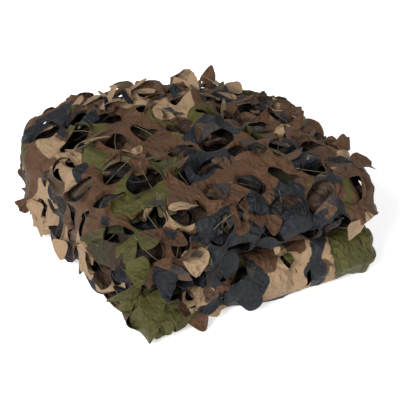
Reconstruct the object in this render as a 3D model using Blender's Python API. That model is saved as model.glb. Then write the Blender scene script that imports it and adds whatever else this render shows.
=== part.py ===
"""A folded camouflage net: one long strip of leaf-cut cloth, laid back and forth into a pack.

Metres, +Z up. The pack stands on z = 0 with its middle over the origin. +X runs along the two
big folds of the front, which faces -Y. Places on the strip are given in the flat cloth's own
sizes: `run` along its length, `across` over its width, from the left ends of the layers.
"""
import math
import random

import bmesh
import bpy
from mathutils import Vector

NODE = "camouflage_net"

# The pack
PACK_LEFT = -0.210          # outer face of the cloth that hangs over the left end
PACK_RIGHT = 0.210
PACK_FRONT = -0.200
PACK_BACK = 0.200
CLOTH = 0.003               # lofty leaf-cut cloth, its two faces apart
PACK_SHIFT = (0.005, 0.0015, 0.0)   # puts the middle of the pack, with its leaves, over the origin

# The layers, counted from the top, in the order in which the strip passes through them.
# It turns at the front after the first, at the back after the second, and so on.
LAYER_ORDER = (1, 6, 7, 12, 11, 8, 5, 2, 3, 4, 9, 10)
LAYERS = len(LAYER_ORDER)
ROLL_SPAN = 5               # layers between the first and the last one of a front fold

# Height of the top of the pack: a row for each station across, from the front to the back
HEIGHT_X = (-0.21, -0.10, 0.02, 0.13, 0.21)
HEIGHT_Y = (-0.20, -0.07, 0.07, 0.20)
HEIGHT = (
    # front, front middle, back middle, back
    (0.138, 0.146, 0.146, 0.140),     # left end
    (0.152, 0.172, 0.178, 0.168),
    (0.162, 0.180, 0.184, 0.166),
    (0.166, 0.168, 0.152, 0.126),
    (0.160, 0.148, 0.124, 0.100),     # right end
)
# Soft waves of the layers: share of the height, length across, length front to back, phase
WAVES = (
    (0.030, 0.160, 0.230, 0.6),
    (0.016, 0.130, -0.170, 2.1),
)
TOP_WAVE = 0.0025           # the top layer's own unevenness, upwards only
TOP_RIPPLE = (88.0, 79.0, 1.3)      # radians a metre across and front to back, phase
OWN_WAVE = 0.0018           # the same for each layer below it, either way
OWN_RIPPLE = (31.0, 17.0, 2.3)      # here the last is the phase from layer to layer

# The front folds and the back turns
FOLD_REACH = 0.92           # a front fold's depth over its half height
BACK_REACH = 0.68           # the same for a back turn, which stays inside the drop
FOLD_WAVE = 0.005
FOLD_WAVELENGTH = 0.17
FOLD_PHASES = (0.5, 2.9)    # of the upper and the lower front fold
CORNER = 0.042              # how far along the pack's corners start
CORNER_ROUND = 0.96         # 1 would round them by a whole quarter turn
CORNER_DEPTH = (0.032, 0.014)       # how far the front and the back draw in at the ends
BACK_INSET = 0.040          # from the back of the pack to where the layers turn
LEFT_INSET = 0.034          # from the left of the pack to the layers' ends
END_WAVE = 0.005
END_RIPPLES = ((37.0, 1.7), (29.0, 2.9))    # left and right: radians a metre, phase by layer
SHORT_END = 0.010           # every third layer ends this much sooner on the right
LEFT_TAPER = 0.020          # how far the left ends draw in from the back to the front

# The top layer's overhang on the left, and its end that drops behind the pack
OVERHANG = 0.140
SHOULDER = 0.031
HEM_HEIGHT = 0.010
HEM_WAVE = 0.012
HEM_WAVELENGTH = 0.071
HEM_PHASE = 1.0
OVERHANG_WAVE = 0.0032
OVERHANG_WAVELENGTH = 0.095
OVERHANG_TURN = 0.20        # share of the upper fold's turn that the overhang covers too
DROP = 0.160
DROP_RADIUS = 0.034
DROP_HEM = 0.022
DROP_HEM_WAVE = 0.008
DROP_HEM_RIPPLE = 41.0      # radians a metre

# The leaf cuts
COLUMNS = 7
OVERHANG_COLUMNS = 3
LAYER_ROWS = 6
PLAIN_ROWS = (4, 8)         # of an inner layer, and of the one under the top layer
FOLD_STOPS = (              # rows round the outer turn of the upper and the lower front fold
    (0.0, OVERHANG_TURN, 0.6, 1.0),
    (0.0, 0.4, 0.8, 1.0),
)
CUT_TURN = 0.3              # such a row is cut where it takes more than this share of the turn
DROP_ROWS = 3
PLAIN_TURN_ROWS = 4
SIDE_STEPS = 4              # steps of a cut row's sides
CUT_LENGTH = 0.037
CUT_WIDTH = 0.029
CUT_TILT = math.radians(-18)
CUT_TILT_SPREAD = math.radians(24)
CUT_SPREAD = 0.16           # share by which a cut's size varies
CUT_ROOM = (0.78, 0.66)     # the largest shares of a cell that its length and width take
CUT_LIMIT = (0.42, 0.40)    # no corner of a cut is further from the cell's middle, in shares
# A cut's outline, as shares of its length and width: a flat side, where the leaf hangs on,
# and a round one
CUT_SHAPE = (
    (-0.50, 0.02),
    (-0.26, -0.30),
    (0.00, -0.36),
    (0.26, -0.30),
    (0.50, 0.02),
    (0.36, 0.36),
    (0.00, 0.50),
    (-0.36, 0.36),
)
HINGE = (1, 2, 3)           # the outline's points on which the leaf hangs
LEAF_REACH = 0.021
LEAF_SPREAD = 0.2           # share by which a leaf's reach varies
LIFT_SPREAD = 0.15          # the same for how steeply it lifts
LEAF_BOW = 0.5              # share of the hinge's bow that the leaf keeps
LEAF_SHARE = 0.55           # share of the cuts that lift a leaf
LEAF_STEPS = (              # slope of each step out of the cloth, and its width at the end
    (math.radians(34), 1.25),
    (math.radians(72), 0.60),
)
LEAF_FLOOR = 0.035          # no leaf is lifted below this height
SEED = 11

# The cloth's plain colour and finish
BROWN = (0.105, 0.062, 0.040, 1.0)
ROUGHNESS = 0.62
SHARP = math.radians(50)    # edges that turn more than this stay sharp


def blend(a, b, share):
    return a + (b - a) * share


def smooth(share):
    share = min(1.0, max(0.0, share))
    return share * share * (3.0 - 2.0 * share)


def station(stops, value):
    """The stop before a value, and the eased way from it to the next one."""
    value = min(stops[-1], max(stops[0], value))
    index = max(i for i in range(len(stops) - 1) if stops[i] <= value)
    return index, smooth((value - stops[index]) / (stops[index + 1] - stops[index]))


def top_height(x, y):
    column, way_x = station(HEIGHT_X, x)
    row, way_y = station(HEIGHT_Y, y)
    near = blend(HEIGHT[column][row], HEIGHT[column + 1][row], way_x)
    far = blend(HEIGHT[column][row + 1], HEIGHT[column + 1][row + 1], way_x)
    waves = sum(share * math.sin(2 * math.pi * (x / wx + y / wy) + phase)
                for share, wx, wy, phase in WAVES)
    return blend(near, far, way_y) * (1.0 + waves)


def layer_height(layer, x, y):
    """Middle of a layer's cloth. The lowest one lies flat."""
    share = (LAYERS - layer) / (LAYERS - 1)
    by_x, by_y, phase = OWN_RIPPLE
    own = OWN_WAVE * math.sin(by_x * x + by_y * y + phase * layer) * 4 * share * (1.0 - share)
    if layer == 1:
        by_x, by_y, phase = TOP_RIPPLE
        own += TOP_WAVE * (1.0 + math.sin(by_x * x + phase) * math.sin(by_y * y))
    return CLOTH / 2 + (top_height(x, y) - CLOTH) * share + own


def corner_inset(x, depth):
    """How far the front or the back draws in towards the ends."""
    edge = abs(x) - (PACK_RIGHT - CORNER)
    share = min(1.0, max(0.0, edge / CORNER))
    return depth * (1.0 - math.sqrt(1.0 - CORNER_ROUND * share * share))


def turn_radius(layer, next_layer, x, y):
    span = abs(layer_height(layer, x, y) - layer_height(next_layer, x, y)) / 2
    return span * FOLD_REACH


def first_layer(roll):
    """The outermost layer of the upper (0) or lower (1) front fold."""
    return 1 + roll * (ROLL_SPAN + 1)


def front_line(x, roll):
    """Where the layers of the upper (0) or lower (1) fold start to turn."""
    first = first_layer(roll)
    reach = turn_radius(first, first + ROLL_SPAN, x, PACK_FRONT)
    wave = FOLD_WAVE * (1.0 + math.sin(2 * math.pi * x / FOLD_WAVELENGTH + FOLD_PHASES[roll]))
    return PACK_FRONT + CLOTH / 2 + reach + corner_inset(x, CORNER_DEPTH[0]) + wave


def back_line(x):
    return PACK_BACK - BACK_INSET - corner_inset(x, CORNER_DEPTH[1])


def end_positions(layer, y):
    """Left and right ends of a layer, a little uneven."""
    taper = LEFT_TAPER * smooth((PACK_BACK - y) / (PACK_BACK - PACK_FRONT))
    left_sway, right_sway = (math.sin(rate * y + phase * layer) for rate, phase in END_RIPPLES)
    left = PACK_LEFT + LEFT_INSET + taper + END_WAVE * left_sway
    right = PACK_RIGHT - END_WAVE * (1.0 + right_sway) - SHORT_END * (layer % 3 == 2)
    return left, right


def roll_of(layer):
    return 0 if layer <= ROLL_SPAN + 1 else 1


def segments():
    """The strip's stretches, each with its kind, its layers and its flat length."""
    depth = back_line(0.0) - front_line(0.0, 0)
    parts = [("drop", 1, 1, DROP)]
    for index, layer in enumerate(LAYER_ORDER):
        parts.append(("front" if index % 2 == 0 else "back", layer, layer, depth))
        if index + 1 < LAYERS:
            following = LAYER_ORDER[index + 1]
            at = PACK_FRONT if index % 2 == 0 else PACK_BACK
            radius = turn_radius(layer, following, 0.0, at)
            kind = "front turn" if index % 2 == 0 else "back turn"
            parts.append((kind, layer, following, math.pi * radius))
    return parts


SEGMENTS = segments()
CLOTH_WIDTH = PACK_RIGHT - PACK_LEFT - LEFT_INSET


def place_in(kind, layer, following, way, x):
    """A point of the strip at a share of the way along one stretch, at x."""
    roll = roll_of(layer)
    front = front_line(x, roll)
    back = back_line(x)
    if kind == "front":
        y = blend(back, front, way)
        return y, layer_height(layer, x, y)
    if kind == "back":
        y = blend(front, back, way)
        return y, layer_height(layer, x, y)
    if kind == "drop":
        top = layer_height(1, x, back)
        rest = top - DROP_RADIUS - DROP_HEM - DROP_HEM_WAVE * math.sin(DROP_HEM_RIPPLE * x)
        arc = math.pi * DROP_RADIUS / 2
        down = (1.0 - way) * DROP
        if down < arc:
            angle = down / DROP_RADIUS
            return back + DROP_RADIUS * math.sin(angle), top - DROP_RADIUS * (1 - math.cos(angle))
        share = (down - arc) / (DROP - arc)
        return back + DROP_RADIUS, top - DROP_RADIUS - rest * share
    line = front if kind == "front turn" else back
    side = -1.0 if kind == "front turn" else 1.0
    start = layer_height(layer, x, line)
    end = layer_height(following, x, line)
    angle = math.pi * way
    reach = abs(start - end) / 2 * (FOLD_REACH if kind == "front turn" else BACK_REACH)
    y = line + side * reach * math.sin(angle)
    return y, (start + end) / 2 + (start - end) / 2 * math.cos(angle)


def place(index, way, across):
    """Middle of the cloth: stretch index, share of the way along it, flat place across."""
    kind, layer, following, _ = SEGMENTS[index]
    guess, _ = place_in(kind, layer, following, way, 0.0)
    ends = end_positions(layer, guess)
    next_ends = end_positions(following, guess)
    left = blend(ends[0], next_ends[0], smooth(way))
    right = blend(ends[1], next_ends[1], smooth(way))
    if across >= 0.0:
        x = blend(left, right, across / CLOTH_WIDTH)
        y, z = place_in(kind, layer, following, way, x)
        return Vector((x, y, z))
    return overhang(kind, layer, following, way, left, -across)


def overhang(kind, layer, following, way, left, out):
    """The top layer past its left end: round a shoulder and down to an uneven hem."""
    y, z = place_in(kind, layer, following, way, left)
    radius = SHOULDER
    arc = math.pi * radius / 2
    if out < arc:
        angle = out / radius
        return Vector((left - radius * math.sin(angle), y, z - radius * (1 - math.cos(angle))))
    share = (out - arc) / (OVERHANG - arc)
    ripple = math.sin(2 * math.pi * y / HEM_WAVELENGTH + HEM_PHASE)
    hem = HEM_HEIGHT + HEM_WAVE * (1.0 + ripple) / 2
    swing = math.sin(2 * math.pi * y / OVERHANG_WAVELENGTH) - 1.0
    x = left - radius - OVERHANG_WAVE * swing * share
    return Vector((x, y, blend(z - radius, hem, share)))


def flat_strip():
    """Rows of the lattice along the strip: stretch, way at its start and end, cut or plain."""
    rows = []
    for index, (kind, layer, _, _) in enumerate(SEGMENTS):
        roll = roll_of(layer)
        if kind == "front turn" and layer == first_layer(roll):
            stops = FOLD_STOPS[roll]
            for start, end in zip(stops, stops[1:]):
                rows.append((index, start, end, end - start > CUT_TURN))
            continue
        if kind == "drop":
            count, cut = DROP_ROWS, True
        elif layer == 1 and kind == "front":
            count, cut = LAYER_ROWS, True
        elif kind in ("front", "back"):
            count, cut = PLAIN_ROWS[layer == 2], False
        else:
            count, cut = PLAIN_TURN_ROWS, False
        for step in range(count):
            rows.append((index, step / count, (step + 1) / count, cut))
    return rows


class Sheet:
    """The middle surface of the cloth, as a mesh whose corners are shared by name."""

    def __init__(self, rows):
        self.rows = rows
        self.mesh = bmesh.new()
        self.corners = {}

    def corner(self, row, way, column):
        """A lattice corner, a share of the way through a row."""
        key = (row + way, column)
        if key not in self.corners:
            index, start, end, _ = self.rows[row]
            spot = place(index, blend(start, end, way), across_of(column))
            self.corners[key] = self.mesh.verts.new(spot)
        return self.corners[key]

    def point(self, spot):
        return self.mesh.verts.new(spot)

    def face(self, corners):
        self.mesh.faces.new(corners)


def across_of(column):
    if column >= 0:
        return CLOTH_WIDTH * column / COLUMNS
    return OVERHANG * column / OVERHANG_COLUMNS


def halved(rows, line, column):
    """Whether a row line has a corner half way along a column: beside any cut row."""
    beside = rows[max(0, line - 1):line + 1]
    return column % 1 == 0 or any(row[3] for row in beside)


def cell_ring(rows, row, start, end):
    """The lattice places round one cell, each a share of the way through the row and a column."""
    halves = [start + step / 2 for step in range(int(2 * (end - start)) + 1)]
    near = [column for column in halves if column in (start, end) or halved(rows, row, column)]
    far = [column for column in halves if column in (start, end) or halved(rows, row + 1, column)]
    inside = []
    if rows[row][3]:
        inside = [step / SIDE_STEPS for step in range(1, SIDE_STEPS)]
    ring = [(0, column) for column in near]
    ring.extend((way, end) for way in inside)
    ring.extend((1, column) for column in reversed(far))
    ring.extend((way, start) for way in reversed(inside))
    return ring


def add_plain_cell(sheet, row, start, end):
    ring = cell_ring(sheet.rows, row, start, end)
    sheet.face([sheet.corner(row, way, column) for way, column in ring])


def cut_outline(row_data, flat_width, dice):
    """The points of one leaf cut, as flat offsets from its cell's middle."""
    index, start, end, _ = row_data
    flat_length = SEGMENTS[index][3] * (end - start)
    size = 1.0 + CUT_SPREAD * (2 * dice.random() - 1)
    length = min(CUT_LENGTH * size, flat_width * CUT_ROOM[0])
    width = min(CUT_WIDTH * size, flat_length * CUT_ROOM[1])
    limit_across = flat_width * CUT_LIMIT[0]
    limit_run = flat_length * CUT_LIMIT[1]
    tilt = CUT_TILT + CUT_TILT_SPREAD * (2 * dice.random() - 1) + dice.choice((0.0, math.pi))
    points = []
    for along, side in CUT_SHAPE:
        a = along * length
        b = side * width
        across = a * math.cos(tilt) - b * math.sin(tilt)
        run = a * math.sin(tilt) + b * math.cos(tilt)
        across = max(-limit_across, min(limit_across, across))
        run = max(-limit_run, min(limit_run, run))
        points.append((across, run))
    return points, flat_length


def add_cut_cell(sheet, row, column, dice):
    """A cell with a leaf cut through it, and on some the lifted leaf."""
    flat_width = across_of(column + 1) - across_of(column)
    outline, flat_length = cut_outline(sheet.rows[row], flat_width, dice)
    index, start, end, _ = sheet.rows[row]
    middle = (across_of(column) + across_of(column + 1)) / 2
    ring = []
    for way, at in cell_ring(sheet.rows, row, column, column + 1):
        flat = (across_of(at) - middle, (way - 0.5) * flat_length)
        ring.append((sheet.corner(row, way, at), flat))
    hole = []
    for across, run in outline:
        way = blend(start, end, 0.5 + run / flat_length)
        hole.append((sheet.point(place(index, way, middle + across)), (across, run)))
    fill_between(sheet, ring, hole)
    lowest = min(corner.co.z for corner, _ in hole)
    if dice.random() < LEAF_SHARE and lowest > LEAF_FLOOR:
        add_leaf(sheet, [corner for corner, _ in hole], dice)


def fill_between(sheet, ring, hole):
    """Triangles from the cell's ring to the cut's, in step with their angle round the middle."""
    outer = sorted(((math.atan2(flat[1], flat[0]), corner) for corner, flat in ring),
                   key=lambda item: item[0])
    inner = sorted(((math.atan2(flat[1], flat[0]), corner) for corner, flat in hole),
                   key=lambda item: item[0])
    full = 2 * math.pi
    outer.append((outer[0][0] + full, outer[0][1]))
    inner.append((inner[0][0] + full, inner[0][1]))
    at_outer = 0
    at_inner = 0
    while at_outer < len(outer) - 1 or at_inner < len(inner) - 1:
        here = outer[at_outer][1]
        there = inner[at_inner][1]
        outer_next = outer[at_outer + 1][0] if at_outer < len(outer) - 1 else math.inf
        inner_next = inner[at_inner + 1][0] if at_inner < len(inner) - 1 else math.inf
        if outer_next < inner_next:
            at_outer += 1
            sheet.face((here, outer[at_outer][1], there))
        else:
            at_inner += 1
            sheet.face((here, inner[at_inner][1], there))


def add_leaf(sheet, hole, dice):
    """A leaf hinged on the flat side of its cut, that curls up over the cloth."""
    base = [hole[point] for point in HINGE]
    middle = sum((corner.co for corner in hole), Vector()) / len(hole)
    along = (base[-1].co - base[0].co).normalized()
    inward = middle - base[1].co
    inward -= along * inward.dot(along)
    inward.normalize()
    up = inward.cross(along)
    bow = base[1].co - (base[0].co + base[-1].co) / 2
    width = (base[-1].co - base[0].co).length
    reach = LEAF_REACH * (1.0 + LEAF_SPREAD * (2 * dice.random() - 1))
    lift = 1.0 + LIFT_SPREAD * (2 * dice.random() - 1)
    centre = (base[0].co + base[-1].co) / 2
    for rise, spread in LEAF_STEPS:
        angle = rise * lift
        centre = centre + (inward * math.cos(angle) + up * math.sin(angle)) * reach * 0.5
        half = along * width * spread / 2
        tip = [sheet.point(spot) for spot in (centre - half, centre + bow * LEAF_BOW, centre + half)]
        sheet.face((base[0], base[1], tip[1], tip[0]))
        sheet.face((base[1], base[2], tip[2], tip[1]))
        base = tip


def cloth_sheet():
    """The whole strip: cut cells where it shows, plain ones inside, the overhang on the left."""
    dice = random.Random(SEED)
    rows = flat_strip()
    sheet = Sheet(rows)
    for row, (index, _, end, cut) in enumerate(rows):
        kind, layer, _, _ = SEGMENTS[index]
        top = layer == 1 and (kind == "front" or (kind == "front turn" and end <= OVERHANG_TURN))
        first = -OVERHANG_COLUMNS if top else 0
        if not cut:
            for column in range(first, COLUMNS):
                add_plain_cell(sheet, row, column, column + 1)
            continue
        shift = 0.5 * (row % 2)
        if shift:
            add_plain_cell(sheet, row, first, first + shift)
            add_plain_cell(sheet, row, COLUMNS - shift, COLUMNS)
        for step in range(COLUMNS - first - int(2 * shift)):
            add_cut_cell(sheet, row, first + shift + step, dice)
    return sheet.mesh


def thicken(middle):
    """Give the middle surface its two faces, and a wall along every free edge."""
    middle.normal_update()
    bmesh.ops.triangulate(middle, faces=middle.faces[:])
    middle.normal_update()
    solid = bmesh.new()
    outer = {}
    inner = {}
    for corner in middle.verts:
        outer[corner] = solid.verts.new(corner.co + corner.normal * CLOTH / 2)
        inner[corner] = solid.verts.new(corner.co - corner.normal * CLOTH / 2)
    for face in middle.faces:
        solid.faces.new([outer[corner] for corner in face.verts])
        solid.faces.new([inner[corner] for corner in reversed(face.verts)])
    for edge in middle.edges:
        if len(edge.link_faces) == 1:
            a, b = edge.verts
            solid.faces.new((outer[a], outer[b], inner[b], inner[a]))
    middle.free()
    bmesh.ops.recalc_face_normals(solid, faces=solid.faces[:])
    bmesh.ops.triangulate(solid, faces=solid.faces[:])
    return solid


def cloth_material():
    material = bpy.data.materials.new("camouflage_cloth")
    material.use_nodes = True
    shader = material.node_tree.nodes["Principled BSDF"]
    shader.inputs["Base Color"].default_value = BROWN
    shader.inputs["Roughness"].default_value = ROUGHNESS
    shader.inputs["Metallic"].default_value = 0.0
    return material


def build_net():
    solid = thicken(cloth_sheet())
    bmesh.ops.translate(solid, verts=solid.verts[:], vec=PACK_SHIFT)
    mesh = bpy.data.meshes.new(NODE)
    solid.to_mesh(mesh)
    solid.free()
    mesh.materials.append(cloth_material())
    mesh.shade_smooth()
    mesh.set_sharp_from_angle(angle=SHARP)
    net = bpy.data.objects.new(NODE, mesh)
    bpy.context.scene.collection.objects.link(net)
    return net


def main():
    for thing in list(bpy.data.objects):
        bpy.data.objects.remove(thing)
    build_net()


main()
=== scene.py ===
"""Looks for the folded camouflage net: leaf-cut printed cloth, its backing threads, floor and light.

Metres, +Z up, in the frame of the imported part. The cloth is one long strip, laid back and forth.
Places on it are flat ones: `run` along the strip from the top layer's back edge, `across` over
its width from the layers' left ends. Tables give both in centimetres, the run from the start of
the fold that they name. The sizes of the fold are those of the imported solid, apart from
LEFT_TAPER, the waves of the hem and the overhang, and the near corner.
"""
import math
import random

import bpy
import numpy as np
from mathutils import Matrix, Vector, noise


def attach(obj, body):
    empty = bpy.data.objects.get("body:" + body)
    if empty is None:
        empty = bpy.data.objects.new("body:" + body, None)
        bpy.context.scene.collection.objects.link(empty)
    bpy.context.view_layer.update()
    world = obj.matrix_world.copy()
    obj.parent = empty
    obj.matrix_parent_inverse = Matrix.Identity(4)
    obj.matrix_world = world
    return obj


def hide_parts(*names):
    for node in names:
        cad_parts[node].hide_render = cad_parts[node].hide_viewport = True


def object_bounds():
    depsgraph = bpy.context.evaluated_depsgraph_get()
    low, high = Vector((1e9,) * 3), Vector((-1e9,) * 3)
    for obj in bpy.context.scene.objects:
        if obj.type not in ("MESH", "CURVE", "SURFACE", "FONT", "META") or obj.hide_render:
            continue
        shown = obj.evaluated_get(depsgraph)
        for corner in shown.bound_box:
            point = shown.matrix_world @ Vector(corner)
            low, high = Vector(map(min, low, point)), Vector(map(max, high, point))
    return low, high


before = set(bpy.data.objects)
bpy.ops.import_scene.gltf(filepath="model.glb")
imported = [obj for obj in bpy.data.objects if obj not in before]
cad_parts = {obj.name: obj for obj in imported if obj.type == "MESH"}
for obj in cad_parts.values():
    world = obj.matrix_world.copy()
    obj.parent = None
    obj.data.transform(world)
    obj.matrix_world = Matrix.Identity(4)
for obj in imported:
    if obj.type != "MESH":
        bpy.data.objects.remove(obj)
CAD_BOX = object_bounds()
NODE = "camouflage_net"
SEED = 11
NOISE_APART = (7.31, 3.17, 1.93)        # from one seed's noise to the next
NOISE_GAIN = 1.6
TAN, GREEN, NAVY, BROWN = range(4)

# ---- the fold
PACK_LEFT = -0.210
PACK_RIGHT = 0.210
PACK_FRONT = -0.200
PACK_BACK = 0.200
PACK_SHIFT = np.array((0.005, 0.0015, 0.0))
LAYER_ORDER = (1, 6, 7, 12, 11, 8, 5, 2, 3, 4, 9, 10)
LAYERS = len(LAYER_ORDER)
ROLL_SPAN = 5               # layers between the first and the last one of a front fold
NEAR_GAP = 0.9              # second skin: its share of the usual gap below the outer one
BASE_HEIGHT = 0.0006        # middle of the lowest layer's cloth
HEIGHT_X = (-0.21, -0.10, 0.02, 0.13, 0.21)
HEIGHT_Y = (-0.20, -0.07, 0.07, 0.20)
HEIGHT = np.array((
    # front, front middle, back middle, back
    (0.138, 0.146, 0.146, 0.140),     # left end
    (0.152, 0.172, 0.178, 0.168),
    (0.162, 0.180, 0.184, 0.166),
    (0.166, 0.168, 0.152, 0.126),
    (0.160, 0.148, 0.124, 0.100),     # right end
))
WAVES = ((0.030, 0.160, 0.230, 0.6), (0.016, 0.130, -0.170, 2.1))      # share, lengths, phase
FOLD_REACH = 0.92
BACK_REACH = 0.68
FOLD_WAVE = 0.005
FOLD_WAVELENGTH = 0.17
FOLD_PHASES = (0.5, 2.9)
CORNER = 0.042
CORNER_DEPTH = (0.032, 0.014)           # at the front and at the back
CORNER_ROUND = 0.96
BACK_INSET = 0.040
LEFT_INSET = 0.034
LEFT_TAPER = 0.030          # the left ends draw in towards the front
END_WAVE = 0.005
END_RIPPLES = ((37.0, 1.7), (29.0, 2.9))    # left and right: radians a metre, phase by layer
WAY_STEP = 0.004            # step along a stretch for its slope

OVERHANG = 0.140
SHOULDER = 0.031
SECOND_IN = 0.006           # how much tighter the second skin turns
HEM_HEIGHT = 0.010
HEM_WAVE = 0.020
HEM_WAVELENGTH = 0.071
HEM_LOBE = 0.037
HEM_LOBES = 0.8             # the small lobes' height over that of the large ones
NEAR_CORNER = 0.125         # the hanging cloth draws in and up towards the near corner
NEAR_CORNER_SPAN = 0.095
NEAR_CORNER_IN = 0.048
NEAR_CORNER_RISE = 0.042
OVERHANG_WAVE = 0.0045
OVERHANG_WAVELENGTH = 0.095
DROP = 0.160
DROP_RADIUS = 0.034
DROP_HEM = 0.022
END_RADIUS = 0.020          # rounding of the layers' right ends, and of the folds' left ones
HIDDEN_CURL = 0.12          # inside the pack, share of the curl of an end that shows
CURL_FADE = 0.05
HIDDEN_BULGE = 0.4

# ---- the cuts and their leaves
COLUMNS = 7
LAST_COLUMN = 7.5           # half a column more rounds the right ends off
OVERHANG_COLUMNS = 3
STEPS = 10                  # mesh steps along each side of a cell
HIDDEN_STEPS = 3            # along the run, inside the pack
BANDS = 6                   # mesh rings between a cell's border and its cut
LEAF_ROWS = 8
CUT_ROW = 0.3               # rows on a turn are cut if they take up more of it than this
CUT_LENGTH = 0.045
CUT_WIDTH = 0.041
CUT_SPREAD = 0.18
CUT_WIDTH_SPREAD = (0.86, 1.20)
MOST_LENGTH = 0.88          # of the cell's width
MOST_WIDTH = 0.84           # of its length along the run
CUT_STRAY = 0.003           # how far its middle strays across, and along as a share of the row
CUT_STRAY_WAY = 0.05
CUT_ROUND = 0.56            # the round side's depth over the width; the flat side has the rest
CUT_FLAT = 0.34
CUT_FLAT_SPREAD = (0.5, 1.15)
CUT_TILT = math.radians(-20)
CUT_TILT_SPREAD = math.radians(30)
EDGE_WAVES = (0.06, 0.04)   # how uneven the round side is, three and five waves round
TIP_LIFT = (0.004, 0.011)   # how far one side of the rim stands up, and the whole rim
RIM_BULGE = 0.004
LIFT_POWER = 2.5
LATTICE_WARP = 0.007        # how far the rows of cuts stray from straight
LATTICE_WARP_SCALE = 0.080
WARP_FADE_RUN = 0.02
WARP_FADE = 0.03
SKIN = 0.0003               # half the printed cloth's thickness
SHARP = math.radians(40)    # edges turned more than this look sharp

# Where the photo shows whole cloth: fold, from and to along the run and across, in centimetres
WHOLE = (
    ("top", -3, 6, -14, -2),        # the rolled corner at the left of the back
    ("top", 3, 10, -10, -2),
    ("top", 26, 34, 34, 44),        # the right end of the upper fold
    ("upper", -1, 6, 34, 44),
    ("lower", -1, 9, 18, 42),       # the tan and green end of the lower fold
)
# Its two slits: fold, middle along the run and across in centimetres, length and width in
# millimetres, tilt in degrees
SLITS = (("lower", 2.1, 23.6, 38, 12, 76), ("lower", 6.6, 26.0, 38, 8, 104))
SLIT_LIFT = 0.25            # its edges part less than those of a leaf cut

# ---- creases and wrinkles
# Main creases for each fold: run and across at one end, then at the other, in
# centimetres, then height (a trough where negative) and half width in millimetres
CREASES = {
    "lower": (
        (-0.5, 35, 3.5, 36.6, -7, 5), (3.5, 36.6, 8, 35.4, -6, 5), (2, 31.5, 7, 33, 4, 6),
        (0, 31.2, 8, 31, -6, 4), (0.5, 19.5, 3.5, 22.5, -4, 4), (2, 24, 8, 22.5, -5, 4),
        (0.5, 27.5, 5, 26, 4, 5), (5.5, 25, 6.5, 29, -3, 4),
    ),
    "upper": (
        (-1, 33, 6, 34.5, -6, 5), (1, 36.5, 5, 38.5, 5, 5), (-1, 30.5, 4, 31, 4, 5),
        (2, 17, 6.5, 21, -5, 5), (0, 2, 7, 0, -6, 6), (1, 11, 8, 14, -6, 6),
    ),
    "top": (
        (13, 4, 20, 13, -4, 5), (20, 16, 21.5, 27, -4, 5), (27, 20, 28.5, 31, 4, 5),
        (24, 31, 29, 38, -6, 5), (2, -2, 12, -5, -5, 6), (13, -1, 22, -8, 5, 6),
        (4, 4, 5, 18, -7, 7), (7, 9, 9.5, 23, 6, 6), (2, 20, 8, 28, -7, 7),
        (10, 25, 12, 38, -6, 6), (15, 30, 18, 39, 5, 6), (1, -8, 14, -12, 4, 6),
        (20, -4, 30, -9, -5, 6),
    ),
}
CREASE_WANDER = 0.006
CREASE_WANDER_SCALE = 0.035
CREASE_END = 0.25           # share of its length over which a crease runs out
CREASE_LEAST = 0.2
# height, kind, its middle, squeeze across and along the run, scale, seed
WRINKLES = (
    (0.0055, "noise", 0.0, 1.0, 1.0, 0.075, 1),
    (0.0060, "ridges", 0.6, 0.6, 1.3, 0.050, 2),
    (0.0060, "facets", 0.5, 1.0, 1.0, 0.036, 0),
    (0.0036, "facets", 0.5, 0.7, 1.2, 0.020, 0),
)
GATHERS = (0.0085, "ridges", 0.6, 0.4, 1.0, 0.030, 4)       # the same, along the back of the top
GATHER_TO = 0.17
GATHER_FADE = 0.08
BACK_FADE = 0.03
HIDDEN_WRINKLE = 0.15       # inside the pack, share of the wrinkles' height
CALM_HEM = 0.10             # from here out the overhang is calmer, by up to this share
CALM_HEM_FADE = 0.04
CALM_HEM_SHARE = 0.4
NORMAL_STEP = 0.002
PLY_APART = 0.37            # keeps the two plies' noise apart

# ---- how a leaf lies
# Its share of the leaves, lift at the hinge and curl out to the tip, in degrees, spread of both
LEAVES_UP = (               # on cloth that faces up: most sink in or turn under
    (0.30, -70, 34, 16), (0.30, -128, -30, 16), (0.04, -8, 14, 8),
    (0.14, 26, 60, 20), (0.06, 60, -30, 18), (0.16, 146, 20, 12),
)
LEAVES_HANGING = (          # on a side, hinged above: most hang over their openings
    (0.34, -12, 16, 12), (0.40, -52, 20, 14), (0.26, 28, -20, 16),
)
LEAVES_STANDING = (         # on a side, hinged below: they fall open or sink in
    (0.30, 146, 24, 16), (0.50, -54, -20, 14), (0.20, 62, 60, 22),
)
LEAVES_BESIDE = (           # on a side, hinged at one end of the opening
    (0.46, -62, 30, 16), (0.28, 34, 34, 18), (0.26, -6, 14, 8),
)
LEAVES_EDGE = (             # along the back of the top, where they show against the light
    (0.36, 6, 20, 8), (0.20, 24, -20, 8), (0.44, -44, 40, 14),
)
LEAVES_BEHIND = ((0.55, -10, 12, 8), (0.45, -50, 16, 12))   # on the drop behind the pack
LEAVES_UNDER = ((1.0, -30, 16, 10),)
UNDERSIDE = -0.15           # upward part of the normal below which a leaf lies on an underside
FACES_UP = 0.62             # and above which it lies on top
EDGE_ROW = 0.055            # the top's edge leaves are hinged nearer to its back than this
RIGHT_LEAVES = 0.315        # from here to the right end leaves lie down
HEM_LEAVES = -0.105         # and from here down to the hem
RIGHT_LIFT = 4              # most lift and curl of those
RIGHT_CURL = -30
LEAF_SPAN = (0.10, 0.90)    # part of the free edge that the lines from the hinge spread over
LIE_DOWN = (1.0, 0.6, 0.2, -0.4)        # shares of its lift and curl, until it stays in the room
ROOM_SHARE = 0.03           # how far cloth may stand out: this share of a side, and this much more
ROOM = 0.008
FULL_BEND = 0.005           # distance from the hinge over which a leaf takes its lift
CURL_OVER = 0.030           # distance over which it takes its curl
BEND_STEPS = 13
TWIST = 40                  # about its own line, in degrees either way
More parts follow.
